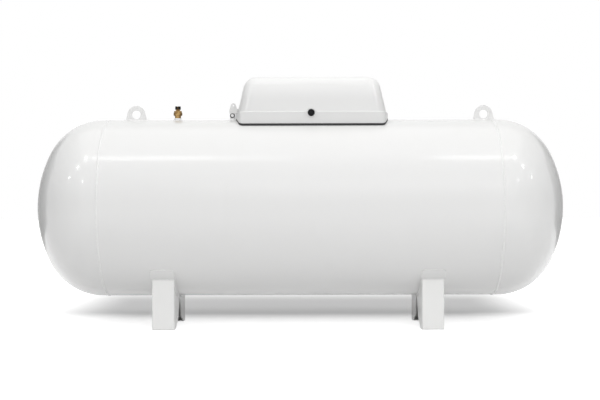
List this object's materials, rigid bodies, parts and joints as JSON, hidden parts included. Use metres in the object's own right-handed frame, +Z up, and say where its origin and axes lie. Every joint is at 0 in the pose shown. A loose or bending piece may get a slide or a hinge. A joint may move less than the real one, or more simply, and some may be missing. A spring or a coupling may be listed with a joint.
{
  "type": "horizontal pressure tank",
  "caption": "White horizontal steel gas tank with dished ends, folded legs, lifting lugs, a brass valve and a hinged, lockable hood over its top fittings.",
  "frame": {"origin": "on the floor, under the middle of the vessel", "axes": "+X along the vessel to its right end, +Z up, and -Y to the front, where the lock is"},
  "size_m": [2.98, 1.0056, 1.4075],
  "materials": {
    "white_paint": "gloss",
    "brass": "satin",
    "black_plastic": "satin",
    "zinc_steel": "satin",
    "gauge_metal": "satin",
    "red_plastic": "gloss",
    "seal_rubber": "matte"
  },
  "bodies": {
    "tank": {"shell": "white_paint", "head_left": "white_paint", "head_right": "white_paint", "girth_weld_left": "white_paint", "girth_weld_right": "white_paint", "pad_front_left": "white_paint", "pad_front_right": "white_paint", "pad_rear_left": "white_paint", "pad_rear_right": "white_paint", "leg_front_left": "white_paint", "leg_front_right": "white_paint", "leg_rear_left": "white_paint", "leg_rear_right": "white_paint", "lug_left": "white_paint", "lug_right": "white_paint", "liquid_boss": "white_paint", "filler_boss": "white_paint", "gauge_boss": "white_paint", "service_boss": "white_paint", "relief_boss": "white_paint", "lock_keeper": "white_paint", "hinge_ears": "white_paint", "liquid_valve": "brass", "liquid_cap": "black_plastic", "filler_valve": "brass", "filler_cap": "black_plastic", "level_gauge": "gauge_metal", "service_valve": "brass", "handwheel": "red_plastic", "relief_valve": "brass", "rain_cap": "red_plastic", "hood_seal": "seal_rubber", "hinge_pin": "zinc_steel"},
    "hood": {"hood": "white_paint", "hinge_arm": "white_paint", "lock_body": "black_plastic"},
    "lock": {"lock_plug": "zinc_steel", "lock_tongue": "zinc_steel"}
  },
  "joints": [
    {"name": "hood_hinge", "type": "hinge", "parent": "tank", "child": "hood", "pos_m": [-0.386, 0, 1.195], "axis": [0, -1, 0], "range_deg": [0, 90]},
    {"name": "lock_turn", "type": "hinge", "parent": "hood", "child": "lock", "pos_m": [0.062, -0.202, 1.199], "axis": [0, -1, 0], "range_deg": [0, 90]}
  ]
}
